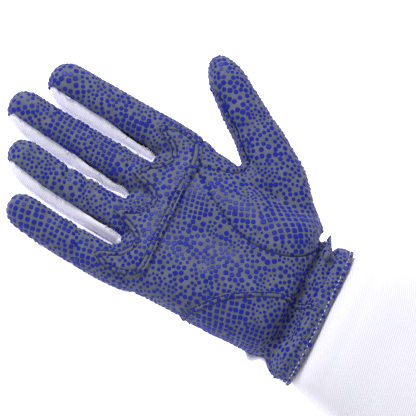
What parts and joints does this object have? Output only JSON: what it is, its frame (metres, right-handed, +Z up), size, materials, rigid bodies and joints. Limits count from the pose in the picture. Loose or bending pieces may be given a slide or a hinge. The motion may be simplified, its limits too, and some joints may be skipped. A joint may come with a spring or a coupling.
{
  "type": "fencing glove",
  "caption": "Right-hand fencing glove, hollow, palm up: leather palm, thumb and finger fronts, knit back and finger sides, sewn-on palm patches and a long flared cloth cuff.",
  "frame": {"origin": "centre of the bounding box at the surface that the glove lies on", "axes": "+Y from the cuff to the fingertips, +X to the thumb side, +Z up out of the palm"},
  "size_m": [0.1742, 0.3736, 0.068],
  "materials": {
    "palm_leather": "soft grey synthetic leather with raised blue silicone dots",
    "back_knit": "padded white knit cloth",
    "fork_cloth": "thin white stretch cloth",
    "cuff_twill": "white cotton twill, fine slanting ribs"
  },
  "bodies": {
    "root": {"palm": "palm_leather", "back": "back_knit", "fourchette_index_middle": "fork_cloth", "fourchette_middle_ring": "fork_cloth", "fourchette_ring_little": "fork_cloth", "thumb_front": "palm_leather", "thumb_gusset": "palm_leather", "thumb_back": "back_knit", "knuckle_patch": "palm_leather", "heel_patch": "palm_leather", "cuff": "cuff_twill"}
  },
  "joints": []
}
